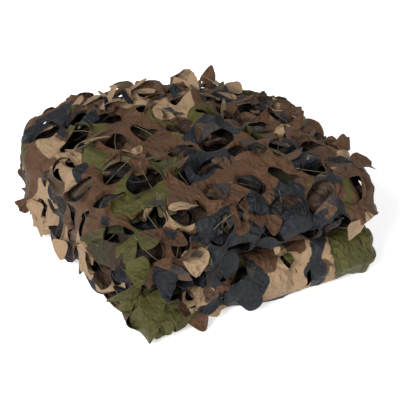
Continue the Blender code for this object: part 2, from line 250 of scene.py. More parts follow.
TWIST_WITHIN = 0.030
CALM_TWIST = 0.3            # share of it for a listed leaf
ROLL = (5, 75)              # how tightly its sides roll over, and how far at most in radians
MOST_ROLL = 0.75
ROLL_WITHIN = 0.014
NARROWED = (0.05, 0.35)
NARROW_OVER = 0.010
SHORTENED = (0.82, 1.0)
DOG_EARS = 0.30             # share of the leaves that have a corner folded over
EAR_TURN = (0.5, 2.6)       # which way, how far out, and how far over in degrees
EAR_FROM = (0.008, 0.016)
EAR_FOLD = (95, 160)

# ---- single leaves
# Where the photo shows them: fold, place along the run and across in centimetres, heading of the
# tip in degrees from the right end towards the front, length and width in millimetres, lift and
# curl in degrees, colour
LOOSE = (
    ("lower", 2, 1.6, 96, 32, 42, 14, -24, GREEN), ("lower", 5.4, 1.6, 96, 26, 38, 12, -16, GREEN),
    ("lower", 6.8, 7.6, 92, 24, 32, 66, -10, BROWN), ("lower", 4, 6, 150, 34, 30, 36, 40, BROWN),
    ("lower", 0.4, 5.4, 104, 32, 38, 20, -20, NAVY), ("upper", 3.5, -1.5, 80, 46, 36, 24, 10, GREEN),
    ("upper", 7.5, -1, 120, 46, 40, 20, -10, GREEN), ("upper", 6, 2.5, 70, 44, 34, 24, 26, NAVY),
    ("upper", 1.5, 3, 40, 42, 36, 20, 20, BROWN), ("upper", 6.5, 12, 60, 38, 38, 22, 20, NAVY),
    ("upper", 3.2, 6.6, 84, 36, 38, 24, -26, TAN), ("upper", 2.6, 21.2, 95, 36, 18, 14, -34, TAN),
    ("lower", 0.6, 23.6, 88, 26, 12, 4, -16, GREEN), ("upper", 7.6, 20.8, 70, 14, 10, 40, -10, TAN),
    ("upper", 3, 20, 100, 30, 32, 14, 8, BROWN), ("upper", 6.2, 32.6, 92, 32, 30, 16, -20, TAN),
    ("top", 29, 36.4, 20, 40, 44, 6, -16, BROWN), ("top", 0.8, 27.4, -80, 30, 26, 58, 20, BROWN),
    ("top", 0.8, 32, -70, 28, 32, 40, 10, TAN), ("top", 5, 38.5, -30, 26, 22, 26, 20, NAVY),
    ("top", 7.5, 37.5, 20, 44, 34, 40, 70, NAVY), ("top", 12, 38.5, 0, 40, 34, 34, 60, BROWN),
    ("top", 2, 28, -60, 34, 32, 22, -16, TAN), ("top", 4, 34, 0, 44, 30, 14, -20, TAN),
    ("top", 0.4, 14, 0, 44, 14, 16, 10, TAN), ("top", 1, 10.5, 10, 42, 15, 14, 10, BROWN),
    ("top", 3, 9, 0, 46, 15, 14, 16, TAN), ("top", 4.2, -10.8, -90, 24, 34, 72, 0, BROWN),
    ("top", 24.4, 37.6, -60, 24, 26, 60, 0, BROWN), ("top", 8.2, -11, 175, 30, 40, 8, 8, TAN),
    ("top", 14, -10.5, 165, 30, 34, 14, 10, TAN), ("top", 19, -10.5, 180, 30, 32, 14, 10, BROWN),
    ("top", 24, -9.5, 178, 26, 32, 4, -6, TAN), ("top", 29.5, -11, 160, 38, 34, 18, 20, NAVY),
)
# More of them: kind, fold, from and to along the run and across, how many, heading from and to,
# colours
DRAWN = (
    ("heap", "top", 1, 9, 4, 36, 20, 0, 360, (BROWN, BROWN, TAN, NAVY, GREEN)),
    ("heap", "top", 4, 12, 18, 38, 18, 0, 360, (BROWN, NAVY, NAVY, TAN)),
    ("heap", "top", 8, 17, 24, 37, 9, 0, 360, (BROWN, BROWN, NAVY)),
    ("heap", "top", 21, 31, 2, 22, 6, 0, 360, (BROWN, GREEN, NAVY)),
    ("heap", "upper", 0.5, 9, 0, 18, 9, 0, 360, (NAVY, NAVY, NAVY, BROWN)),
    ("heap", "lower", 0.5, 4.5, 4, 18, 6, 0, 360, (NAVY, NAVY, BROWN)),
    ("strip", "top", 0.5, 8, 4, 14, 11, -17, 27, (TAN, TAN, BROWN)),
    ("strip", "top", 2, 10, 12, 22, 11, 20, 120, (TAN, BROWN, BROWN, NAVY)),
    ("strip", "top", 2, 12, 22, 36, 14, -20, 100, (NAVY, BROWN, NAVY, TAN)),
    ("strip", "top", 8, 16, 0, 5, 4, 20, 100, (TAN, BROWN, GREEN)),
    ("strip", "top", 14, 22, 16, 28, 6, -30, 70, (NAVY, BROWN, GREEN)),
    ("strip", "upper", 1, 9, 1, 20, 3, -20, 140, (NAVY, GREEN)),
    ("strip", "top", 13, 25, 20, 34, 9, -50, 110, (BROWN, NAVY, BROWN, TAN)),
    ("strip", "top", 10, 22, 2, 16, 5, -40, 80, (BROWN, TAN, GREEN)),
)
# Each from and to: length in millimetres, width over length, lift, curl in degrees
DRAWN_SHAPES = {
    "heap": ((26, 46), (0.5, 0.95), (4, 24), (-40, 25)),
    "strip": ((34, 56), (0.22, 0.36), (4, 16), (-30, 8)),
}
LOOSE_COLUMNS = 9
NARROW_LEAF = 0.4           # narrower ones than this share of their length are strips
NARROW_SHAPE = (0.04, 0.30)             # how ragged the tip is, and how rounded
BROAD_SHAPE = (0.12, 0.86)
WAIST = (0.62, 0.38, 2.2)   # width at the hinge, what it gains, and how soon
HEADING_STEP = 0.012
LAID_ON = 0.002             # height of a listed leaf's hinge over the cloth, and of a drawn one's
TUCKED_IN = -0.0015
THREAD_SHARE = 0.55         # openings that a backing thread crosses
THREAD_RADIUS = 0.00036
THREAD_OVERLAP = 0.006
THREAD_BELOW = 0.002
THREAD_SLANT = 6
THREAD_SAG = (-0.003, 0.004)
THREAD_SWAY = 0.004
THREAD_SIDES = 5
THREAD_STEPS = 6

# ---- the print
# Large patches where the photo shows them, for each fold: colour, then in centimetres the place
# along the run and across, and the half sizes along the run and across
PATCHES = {
    "top": (
        (BROWN, 14, 8, 9, 6), (BROWN, 22, 15, 5, 5), (BROWN, 24, 24, 6, 5), (BROWN, 2, 17, 4, 6),
        (TAN, 5, 14, 2, 4.5), (TAN, 9, 18, 3.2, 2.4), (TAN, 10, 3, 2, 1.4), (TAN, 9, 0, 6, 1.3),
        (TAN, 14.5, -3.5, 4, 2.4), (TAN, 14.8, -7.5, 1.7, 4), (BROWN, 19.5, 0.5, 3, 2),
        (BROWN, 11, 8, 4, 4), (TAN, 6, -10.8, 6.5, 3), (TAN, 15, -10, 3.2, 4),
        (BROWN, 5, -5.2, 4.6, 3.6), (BROWN, 20, -7, 3, 3.4), (TAN, 11, -8, 3.2, 4.2),
        (TAN, 17.5, -9.5, 2.4, 3.4), (BROWN, 24, -4.5, 4, 3), (TAN, 23, -11.5, 2, 2.4),
        (BROWN, 18, 34, 4, 5), (TAN, 17.5, 32.5, 0.9, 3), (BROWN, 27, -8, 3, 3),
        (NAVY, 32, -11, 1.8, 2.4), (TAN, 28, -12.5, 2.4, 1.8), (BROWN, 6.2, -2.8, 2.6, 1.7),
        (GREEN, 7, 5.5, 2.4, 2.2), (GREEN, 15.5, 2, 3, 1.6), (GREEN, 25, 3.5, 4, 4.5),
        (GREEN, 22, 10.5, 2.2, 3.2), (NAVY, 0.3, 2.8, 1.8, 2.6), (NAVY, 0.2, -3.2, 1.5, 2.6),
        (TAN, 8, -11.5, 5, 3.2), (BROWN, 4.5, -7, 3.4, 2.6), (TAN, 13.5, -8, 3, 2.6),
        (TAN, 16, -11, 1.8, 3.6), (BROWN, 20, -8.5, 2.4, 3.6), (TAN, 23.2, -9.5, 1.6, 4),
        (GREEN, 0.2, -7.8, 1.8, 3.2), (TAN, 0.2, 6.3, 0.8, 1.2), (NAVY, 1.6, -1.4, 2.2, 1.9),
        (GREEN, 3.4, -4.4, 1.7, 1.6), (GREEN, 13, 20.5, 1.6, 3.4), (BROWN, 29, 25, 2.4, 3),
        (NAVY, 17, 20, 2.4, 4), (NAVY, 23, 15.5, 3, 4.2), (NAVY, 7.5, 25, 2.4, 3.6),
        (NAVY, 27, 28.5, 3.2, 1.2), (NAVY, 30, 31, 3.5, 1.3), (TAN, 6, 34, 2.6, 2),
        (NAVY, 13, 34, 2.4, 2),
    ),
    "upper": (
        (BROWN, 2, 4, 3, 4), (GREEN, 4.5, -2, 2.6, 3), (NAVY, 1.6, 10, 1.8, 3),
        (NAVY, 7, 12.5, 3.8, 5.6), (NAVY, 8, 3.5, 3, 2.6), (BROWN, 1.5, 15.2, 3.6, 2.2),
        (NAVY, 3, 18.6, 3.5, 1.4), (NAVY, 7.5, 20.5, 2.6, 4), (NAVY, 3.5, 23.8, 4.5, 3),
        (BROWN, 2, 26.4, 1.4, 1.3), (NAVY, 6, 28.5, 2.8, 4.6), (NAVY, 0.5, 29, 5, 1.3),
        (BROWN, 2.5, 35.5, 5, 4), (GREEN, 2.5, 32.4, 2.4, 0.9), (TAN, 7.5, 36.5, 2, 2.2),
    ),
    "lower": (
        (TAN, 4.5, 23.4, 6.5, 6.6), (NAVY, 1.2, 28.4, 2.6, 1), (NAVY, 5.2, 27.8, 2.6, 1.9),
        (BROWN, 0.6, 25, 1.3, 1.8), (BROWN, 1, 20, 2, 1.6), (NAVY, 10, 22, 1.2, 4),
        (GREEN, 4, 35.4, 9, 5), (NAVY, 4.5, 15, 5, 4), (NAVY, 1.5, 9, 2.4, 3.6),
        (GREEN, 1.5, 15.5, 1.6, 1.6), (TAN, 4.5, 8.5, 1.6, 2.6), (TAN, 9, 10, 1.4, 3),
        (NAVY, 7, 10, 1.1, 3.4), (GREEN, 4.5, -0.5, 5.4, 3.6), (GREEN, 5, 3.5, 4.6, 3.2),
    ),
}
PATCH_STRENGTH = 0.9
PATCH_EDGE = 0.30           # share of a patch's size over which it fades
PRINT_SCALE = 0.085         # from one blob of the print to the next
PRINT_GAIN = 0.9
PRINT_LEVELS = (0.28, 0.36, 0.36)       # how rare tan, green and navy are
PRINT_WARP = 0.010
PRINT_WARP_SCALE = 0.030
INNER_PRINT = (-0.10, 0.0, 0.25)        # inside the pack there is less tan and more navy
OWN_PRINT = 0.5             # a single leaf: share of the print, what it loses, and its own colour
OWN_SINK = 0.55
OWN_COLOUR = 1.5

INK_BROWN = (0.074, 0.0365, 0.0185, 1)
INK_TAN = (0.250, 0.167, 0.097, 1)
INK_GREEN = (0.055, 0.052, 0.0128, 1)
INK_NAVY = (0.0132, 0.0145, 0.0180, 1)
BACK_TINT = (0.100, 0.074, 0.056, 1)
PAINTED_SHADE_TINT = (0.38, 0.38, 0.40, 1)       # painted shade: darkens the cloth inside the pack, where the layers shadow it
THREAD_DARK = (0.09, 0.09, 0.04, 1)
THREAD_LIGHT = (0.20, 0.19, 0.10, 1)
COLOUR_A, COLOUR_B, COLOUR_OUT = 6, 7, 2        # the Mix node's sockets for colours

# ---- sizes of the studio
CAMERA_AZIMUTH = 24         # from the front to the left, and up, in degrees
CAMERA_HEIGHT = 34
CAMERA_AWAY = 2.4
CAMERA_LENS = 150.8
CAMERA_TARGET = Vector((0.005, 0.0015, 0.060))
CAMERA_RIGHT = 0.0129       # how far the view's middle lies to the right of the target, and above
CAMERA_UP = 0.0075
FLOOR = 6.0                 # half its side
FLOOR_GLOW = 0.50
SKY = 0.17
LIGHTS = (                  # azimuth and height in degrees, strength, softness in degrees
    ("key", 58, 34, 4.0, 28),
    ("fill", -30, 34, 0.90, 40),
    ("back", 200, 40, 0.7, 60),
)


# ---- the folded strip
def blend(a, b, share):
    return a + (b - a) * share


def smooth(share):
    share = np.clip(share, 0.0, 1.0)
    return share * share * (3.0 - 2.0 * share)


def noise_at(points, scale, seed):
    """Smooth noise, about -1 to 1, at flat places."""
    offset = Vector([seed * part for part in NOISE_APART])
    return np.array([noise.noise(Vector(point) / scale + offset) for point in points]) * NOISE_GAIN


def unit(vector):
    return vector / np.linalg.norm(vector)


def station(stops, value):
    """The stop before each value, and the eased way from it to the next one."""
    stops = np.array(stops)
    value = np.clip(value, stops[0], stops[-1])
    index = np.clip(np.searchsorted(stops, value, side="right") - 1, 0, len(stops) - 2)
    return index, smooth((value - stops[index]) / (stops[index + 1] - stops[index]))


def top_height(x, y):
    """Height of the top layer over the floor."""
    column, way_x = station(HEIGHT_X, x)
    row, way_y = station(HEIGHT_Y, y)
    near = blend(HEIGHT[column, row], HEIGHT[column + 1, row], way_x)
    far = blend(HEIGHT[column, row + 1], HEIGHT[column + 1, row + 1], way_x)
    waves = sum(share * np.sin(2 * math.pi * (x / wx + y / wy) + phase)
                for share, wx, wy, phase in WAVES)
    return blend(near, far, way_y) * (1.0 + waves)


def layer_height(layer, x, y):
    """Height of a layer. The second skin lies close under the outer one."""
    inward = {2: 1 - NEAR_GAP, 5: NEAR_GAP - 1, 8: 1 - NEAR_GAP, 11: NEAR_GAP - 1}.get(layer, 0.0)
    share = (LAYERS - layer + inward) / (LAYERS - 1)
    return BASE_HEIGHT + (top_height(x, y) - 2 * BASE_HEIGHT) * share


def corner_inset(x, depth):
    """How far the pack draws in towards its two ends."""
    share = np.clip((np.abs(x) - (PACK_RIGHT - CORNER)) / CORNER, 0.0, 1.0)
    return depth * (1.0 - np.sqrt(1.0 - CORNER_ROUND * share * share))


def front_line(x, roll):
    """Where the layers of the upper (0) or lower (1) front fold start to turn."""
    first = 1 + roll * (ROLL_SPAN + 1)
    high = layer_height(first, x, PACK_FRONT)
    low = layer_height(first + ROLL_SPAN, x, PACK_FRONT)
    wave = FOLD_WAVE * (1.0 + np.sin(2 * math.pi * x / FOLD_WAVELENGTH + FOLD_PHASES[roll]))
    inset = corner_inset(x, CORNER_DEPTH[0])
    return PACK_FRONT + BASE_HEIGHT + (high - low) / 2 * FOLD_REACH + inset + wave


def back_line(x):
    """Where the layers start to turn at the back."""
    return PACK_BACK - BACK_INSET - corner_inset(x, CORNER_DEPTH[1])


def layer_ends(layer, y):
    """Places of a layer's left and right end."""
    taper = LEFT_TAPER * smooth((PACK_BACK - y) / (PACK_BACK - PACK_FRONT))
    ripple, other = (np.sin(pace * y + phase * layer) for pace, phase in END_RIPPLES)
    left = PACK_LEFT + LEFT_INSET + taper + END_WAVE * ripple
    return left, PACK_RIGHT - END_WAVE * (1.0 + other)


def stretches():
    """The strip's stretches: kind, layer, the layer after it, flat length."""
    middle = np.zeros(1)
    depth = float(back_line(middle)[0] - front_line(middle, 0)[0])
    parts = [("drop", 1, 1, DROP)]
    for index, layer in enumerate(LAYER_ORDER):
        side, at = ("back", PACK_BACK) if index % 2 else ("front", PACK_FRONT)
        parts.append((side, layer, layer, depth))
        if index + 1 < LAYERS:
            following = LAYER_ORDER[index + 1]
            gap = abs(layer_height(layer, middle, at) - layer_height(following, middle, at))[0]
            parts.append((side + " turn", layer, following, math.pi * float(gap) / 2 * FOLD_REACH))
    return parts


def named(kind, layer):
    return next(i for i, part in enumerate(STRETCHES) if part[:2] == (kind, layer))


STRETCHES = stretches()
LENGTHS = np.array([part[3] for part in STRETCHES])
STARTS = np.concatenate(([0.0], np.cumsum(LENGTHS))) - DROP
CLOTH_WIDTH = PACK_RIGHT - PACK_LEFT - LEFT_INSET
TOP = named("front", 1)
UPPER_TURN = named("front turn", 1)
LOWER_TURN = named("front turn", 7)
LAST_OUTER = named("back turn", 12)
SECOND_TOP = named("back", 2)
SECOND_UPPER = named("front turn", 5)
SECOND_LOWER = named("front turn", 11)
FACES_IN = (SECOND_TOP, SECOND_UPPER, SECOND_LOWER)     # here the print is underneath
ENDS_SHOW = (0, TOP, UPPER_TURN, LOWER_TURN, *FACES_IN)
FOLDS = {"top": TOP, "upper": UPPER_TURN, "lower": LOWER_TURN}
RUN_START = {name: float(STARTS[index]) for name, index in FOLDS.items()}
TURN_STOPS = {              # rows of cells on the front turns
    UPPER_TURN: (0.0, 0.48, 0.96, 1.0), LOWER_TURN: (0.0, 0.4, 0.8, 1.0),
    SECOND_UPPER: (0.0, 0.12, 0.88, 1.0), SECOND_LOWER: (0.0, 0.12, 0.88, 1.0),
}


def across_of(column):
    """Where a column of the lattice starts, across."""
    column = np.asarray(column, float)
    return np.where(column >= 0, CLOTH_WIDTH * column / COLUMNS, OVERHANG * column / OVERHANG_COLUMNS)


def end_curl(index, way):
    """How far a stretch's ends curl in, as a share: fully where they show, hardly inside the pack."""
    kind, _, _, length = STRETCHES[index]
    if index in ENDS_SHOW:
        return np.ones_like(way)
    if kind.endswith("turn"):
        return np.full_like(way, HIDDEN_CURL)
    from_front = (1 - way) * length if kind == "front" else way * length
    return blend(1.0, HIDDEN_CURL, smooth(from_front / CURL_FADE))


def outline_radius(angle, length, width, flat_depth):
    """Polar radius of a cut: half an ellipse on one side and a flat chord on the other."""
    a = length / 2
    b = width * CUT_ROUND
    round_one = a * b / math.hypot(b * math.cos(angle), a * math.sin(angle))
    sink = -math.sin(angle)
    if sink > 1e-6:
        chord = width * flat_depth / sink
        return min(round_one, chord), chord < round_one
    return round_one, False


def is_whole(data, column):
    """Whether the cell lies where the cloth has no cut."""
    index, start, end, _ = data
    run = run_of(index, (start + end) / 2)
    across = float(across_of(column + 0.5)) * 100
    return any(
        run_from <= (run - RUN_START[fold]) * 100 <= run_to and left <= across <= right
        for fold, run_from, run_to, left, right in WHOLE
    )


def slit_in(data, column):
    """The slit whose middle lies in the cell, or None."""
    index, start, end, _ = data
    for slit in SLITS:
        run = RUN_START[slit[0]] + slit[1] / 100
        inside = run_of(index, start) < run < run_of(index, end)
        if inside and float(across_of(column)) < slit[2] / 100 < float(across_of(column + 1)):
            return slit
    return None


def run_of(stretch, way):
    """The run at a share of the way along a stretch."""
    return STARTS[stretch] + way * LENGTHS[stretch]


def fold_point(index, way, x):
    """(y, z) of a stretch at a share of the way along it."""
    kind, layer, following, _ = STRETCHES[index]
    front = front_line(x, 0 if layer <= ROLL_SPAN + 1 else 1)
    back = back_line(x)
    if kind in ("front", "back"):
        y = blend(back, front, way) if kind == "front" else blend(front, back, way)
        return y, layer_height(layer, x, y)
    if kind == "drop":
        top = layer_height(1, x, back)
        rest = top - DROP_RADIUS - DROP_HEM
        arc = math.pi * DROP_RADIUS / 2
        down = (1.0 - way) * DROP
        angle = np.minimum(down, arc) / DROP_RADIUS
        share = np.maximum(down - arc, 0.0) / (DROP - arc)
        y = back + DROP_RADIUS * np.sin(angle)
        return y, top - DROP_RADIUS * (1 - np.cos(angle)) - rest * share
    in_front = kind == "front turn"
    line, side, reach = (front, -1.0, FOLD_REACH) if in_front else (back, 1.0, BACK_REACH)
    start = layer_height(layer, x, line)
    end = layer_height(following, x, line)
    reach = np.abs(start - end) / 2 * reach
    angle = math.pi * way
    return line + side * reach * np.sin(angle), (start + end) / 2 + (start - end) / 2 * np.cos(angle)


def fold_frame(index, way, x):
    """(y, z) and the outward (y, z) direction of the printed side there."""
    y0, z0 = fold_point(index, np.clip(way - WAY_STEP, 0.0, 1.0), x)
    y1, z1 = fold_point(index, np.clip(way + WAY_STEP, 0.0, 1.0), x)
    length = np.hypot(y1 - y0, z1 - z0) + 1e-9
    y, z = fold_point(index, way, x)
    return y, z, (z1 - z0) / length, -(y1 - y0) / length


def place(index, way, across):
    """Places of one stretch, before any wrinkle: a row for each pair of way and across."""
    _, layer, following, _ = STRETCHES[index]
    guess, _ = fold_point(index, way, np.zeros_like(way))
    ends = zip(layer_ends(layer, guess), layer_ends(following, guess))
    left, right = (blend(one, other, smooth(way)) for one, other in ends)
    x = blend(left, right, np.clip(across, 0.0, None) / CLOTH_WIDTH)

    # past the right end the cloth rounds off, towards the inside of its fold
    over = np.clip(x - (right - END_RADIUS), 0.0, None)
    angle = np.minimum(over / END_RADIUS, math.pi / 2)
    x = np.where(over > 0, right - END_RADIUS + END_RADIUS * np.sin(angle), x)
    drop_in = END_RADIUS * (1 - np.cos(angle)) + (over - END_RADIUS * angle)

    # past the left end it goes round a shoulder, and the top layer hangs down to its hem
    out = np.clip(-across, 0.0, None)
    radius = SHOULDER if index in (TOP, SECOND_TOP, UPPER_TURN, SECOND_UPPER) else END_RADIUS
    if index in (SECOND_TOP, SECOND_UPPER):
        radius -= SECOND_IN
    angle = np.minimum(out / radius, math.pi / 2)
    past = out - radius * angle
    bulge = radius if index in ENDS_SHOW else radius * HIDDEN_BULGE
    x = np.where(out > 0, left - bulge * np.sin(angle), x)
    drop_in = (drop_in + radius * (1 - np.cos(angle))) * end_curl(index, way)

    y, z, out_y, out_z = fold_frame(index, way, x if index != TOP else np.maximum(x, left))
    if index in FACES_IN:
        out_y, out_z = -out_y, -out_z
    if index in (TOP, SECOND_TOP):
        share = past / (OVERHANG - math.pi * radius / 2)
        lobes = np.sin(2 * math.pi * y / HEM_WAVELENGTH + 1.0 + index)
        lobes = lobes + HEM_LOBES * np.sin(2 * math.pi * y / HEM_LOBE + 2.0 * index)
        near = smooth((PACK_FRONT + NEAR_CORNER - y) / NEAR_CORNER_SPAN)
        hem = HEM_HEIGHT + HEM_WAVE * (1.0 + lobes) / 2 + NEAR_CORNER_RISE * near
        swing = 1.0 - np.sin(2 * math.pi * y / OVERHANG_WAVELENGTH)
        x = x + OVERHANG_WAVE * swing * share + NEAR_CORNER_IN * near * share
        drop_in = drop_in + np.where(past > 0, np.maximum(z - radius - hem, 0.0) * share, 0.0)
    else:
        drop_in = drop_in + past * end_curl(index, way)
    return np.stack((x, y - out_y * drop_in, np.maximum(z - out_z * drop_in, BASE_HEIGHT)), axis=1)


# ---- the flat cloth as a mesh
def quads(grid):
    """The faces between the rows of a grid of corners."""
    return [(one[k], one[k + 1], other[k + 1], other[k])
            for one, other in zip(grid, grid[1:]) for k in range(len(one) - 1)]


class Cloth:
    """The flat strip as a mesh: its corners, its faces and the leaves that its cuts left."""

    def __init__(self):
        self.stretch, self.way, self.across, self.lift = [], [], [], []
        self.faces, self.leaves, self.shared = [], [], {}

    def corner(self, index, way, across, lift=0.0):
        """Adds a corner. Its lift is how far the cloth stands up there."""
        self.stretch.append(index)
        self.way.append(way)
        self.across.append(across)
        self.lift.append(lift)
        return len(self.way) - 1

    def lattice_corner(self, row, data, way, column):
        """The corner at a place of the lattice, which the cells round it share."""
        key = (round(row + way, 4), round(column, 4))
        if key not in self.shared:
            index, start, end, _ = data
            self.shared[key] = self.corner(index, blend(start, end, way), float(across_of(column)))
        return self.shared[key]


def border(cloth, row, data, column):
    """The corners round one cell of the lattice, in order, each with its way and its across."""
    shares = [step / STEPS for step in range(STEPS)]
    ring = [(0.0, column + share) for share in shares]
    ring += [(share, column + 1) for share in shares]
    ring += [(1.0, column + (1 - share)) for share in shares]
    ring += [(1 - share, column) for share in shares]
    return [(cloth.lattice_corner(row, data, way, at), way, float(across_of(at))) for way, at in ring]


def plain_cell(cloth, row, data, column, size=1):
    """A cell without a cut, as a grid: a coarser one along the run where it is inside the pack."""
    rows = STEPS if data[0] in ENDS_SHOW else HIDDEN_STEPS
    columns = max(2, int(STEPS * size))
    cloth.faces += quads([
        [cloth.lattice_corner(row, data, i / rows, column + size * j / columns)
         for j in range(columns + 1)]
        for i in range(rows + 1)
    ])


def cut_cell(cloth, row, data, column, dice, slit):
    """A cell with a leaf cut or a slit: rings of mesh from its border to it, and the leaf in it."""
    index, start, end, _ = data
    flat_length = STRETCHES[index][3] * (end - start)
    low = float(across_of(column))
    flat_width = float(across_of(column + 1)) - low
    ring = border(cloth, row, data, column)
    middle = (low + flat_width / 2 + dice.uniform(-1, 1) * CUT_STRAY,
              0.5 + dice.uniform(-1, 1) * CUT_STRAY_WAY)
    size = 1.0 + CUT_SPREAD * dice.uniform(-1, 1)
    length = min(CUT_LENGTH * size, flat_width * MOST_LENGTH)
    width = min(CUT_WIDTH * size * dice.uniform(*CUT_WIDTH_SPREAD), flat_length * MOST_WIDTH)
    tilt = CUT_TILT + CUT_TILT_SPREAD * dice.uniform(-1, 1) + dice.choice((0.0, math.pi))
    tip_way = dice.uniform(0, 2 * math.pi)
    tip_size = dice.uniform(*TIP_LIFT)
    bulge = dice.uniform(-RIM_BULGE, RIM_BULGE)
    flat_side_depth = CUT_FLAT * dice.uniform(*CUT_FLAT_SPREAD)
    if slit:
        fold, along, across, length, width, tilt = slit
        along = RUN_START[fold] + along / 100 - run_of(index, start)
        middle = (across / 100, along / flat_length)
        length, width, tilt = length / 1000, width / 1000, math.radians(tilt)
        tip_size *= SLIT_LIFT
        bulge *= SLIT_LIFT
    targets, chord = [], []
    for _, way, across in ring:
        angle = math.atan2((way - middle[1]) * flat_length, across - middle[0])
        radius, flat_side = outline_radius(angle - tilt, length, width, flat_side_depth)
        if not flat_side:
            three, five = math.sin(3 * angle + tip_way), math.sin(5 * angle + tilt)
            radius *= 1.0 + EDGE_WAVES[0] * three + EDGE_WAVES[1] * five
        targets.append((radius * math.cos(angle), radius * math.sin(angle)))
        chord.append(flat_side)
    bands = [[number for number, _, _ in ring]]
    for band in range(1, BANDS + 1):
        rim = band / BANDS
        bands.append([])
        for (_, way, across), (aim_across, aim_run) in zip(ring, targets):
            at = middle[0] + blend(across - middle[0], aim_across, rim)
            along = middle[1] + blend((way - middle[1]) * flat_length, aim_run, rim) / flat_length
            angle = math.atan2((along - middle[1]) * flat_length, at - middle[0])
            lift = rim ** LIFT_POWER * (tip_size * math.cos(angle - tip_way) + bulge)
            held = min(1.0, max(0.0, along))
            bands[-1].append(cloth.corner(index, blend(start, end, held), at, lift))
    cloth.faces += quads([band + band[:1] for band in bands])
    if not slit:
        way = blend(start, end, middle[1])
        add_leaf(cloth, index, way, middle[0], bands[-1], targets, chord, dice.random())


def add_leaf(cloth, index, way, across, rim, targets, chord, seed):
    """Notes the tongue that a cut left: its hinge along the chord, and its free edge as a loop."""
    count = len(rim)
    k = next(k for k in range(count) if chord[k] and not chord[k - 1])
    hinge = []
    while chord[k % count]:
        hinge.append(k % count)
        k += 1
    free = [(k + step) % count for step in range(count - len(hinge))]
    loop = [hinge[0], *reversed(free), hinge[-1]]
    cloth.leaves.append({
        "index": index, "way": way, "across": across, "run": run_of(index, way), "rim": rim,
        "hinge": [rim[i] for i in hinge], "hinge_flat": np.array([targets[i] for i in hinge]),
        "loop": np.array([targets[i] for i in loop]), "seed": seed,
    })


def lattice_rows(first, last):
    """Rows of cells: stretch, way at start and end, whether cut."""
    rows = []
    for index in range(first, last + 1):
        kind = STRETCHES[index][0]
        if index in TURN_STOPS:
            stops = TURN_STOPS[index]
            rows += [(index, start, end, end - start > CUT_ROW) for start, end in zip(stops, stops[1:])]
            continue
        whole_top = index in (TOP, SECOND_TOP)
        count = 6 if whole_top else {"drop": 3, "front": 4, "back": 4}.get(kind, 2)
        cut = whole_top or kind == "drop"
        rows += [(index, step / count, (step + 1) / count, cut) for step in range(count)]
    return rows


def flat_net(first, last, seed):
    """The flat strip from one stretch to another, with its cuts, and its flat area."""
    dice = random.Random(seed)
    outer = seed == SEED
    cloth = Cloth()
    area = 0.0
    for row, data in enumerate(lattice_rows(first, last)):
        index, start, end, cut = data
        left = -OVERHANG_COLUMNS if index in (TOP, SECOND_TOP) else -1
        area += float(across_of(LAST_COLUMN) - across_of(left)) * STRETCHES[index][3] * (end - start)
        shift = 0.5 * (row % 2) if cut else 0
        if shift:
            plain_cell(cloth, row, data, left, shift)
        for column in range(left, COLUMNS):
            at = column + shift
            slit = slit_in(data, at) if cut and outer else None
            if slit or cut and not (outer and is_whole(data, at)):
                cut_cell(cloth, row, data, at, dice, slit)
            else:
                plain_cell(cloth, row, data, at)
        if not shift:
            plain_cell(cloth, row, data, COLUMNS, LAST_COLUMN - COLUMNS)
    return cloth, area


# ---- wrinkles
def main_creases(flat):
    """Height of the main creases at flat places. They wander a little, and run out at their ends."""
    wander = np.stack([noise_at(flat, CREASE_WANDER_SCALE, seed) for seed in (61, 62)], axis=1)
    spot = flat[:, :2] + wander * CREASE_WANDER
    height = np.zeros(len(flat))
    for fold, rows in CREASES.items():
        for run_a, across_a, run_b, across_b, tall, half in rows:
            start = np.array((across_a / 100, RUN_START[fold] + run_a / 100))
            way = np.array((across_b / 100, RUN_START[fold] + run_b / 100)) - start
            share = np.clip((spot - start) @ way / (way @ way), 0.0, 1.0)
            off = np.linalg.norm(spot - start - share[:, None] * way, axis=1)
            ends = blend(CREASE_LEAST, 1.0, smooth(np.minimum(share, 1 - share) / CREASE_END))
            height += tall / 1000 * ends / (1 + (off / (half / 1000)) ** 2) ** 1.5
    return height


def crumple(points, scale):
    """Flat facets that meet in crisp creases, 0 to about 1."""
    return np.array([noise.voronoi(Vector(point) / scale)[0][0] for point in points])


def relief(flat, row, ply, strength=1.0):
    """Height of one row of WRINKLES at flat places."""
    height, kind, middle, squeeze_across, squeeze_run, scale, seed = row
    spot = flat * (squeeze_across, squeeze_run, 1.0)
    values = crumple(spot, scale) if kind == "facets" else noise_at(spot, scale, ply + seed)
    if kind == "ridges":
        values = 1.0 - np.abs(values)
    return height * strength * (values - middle)


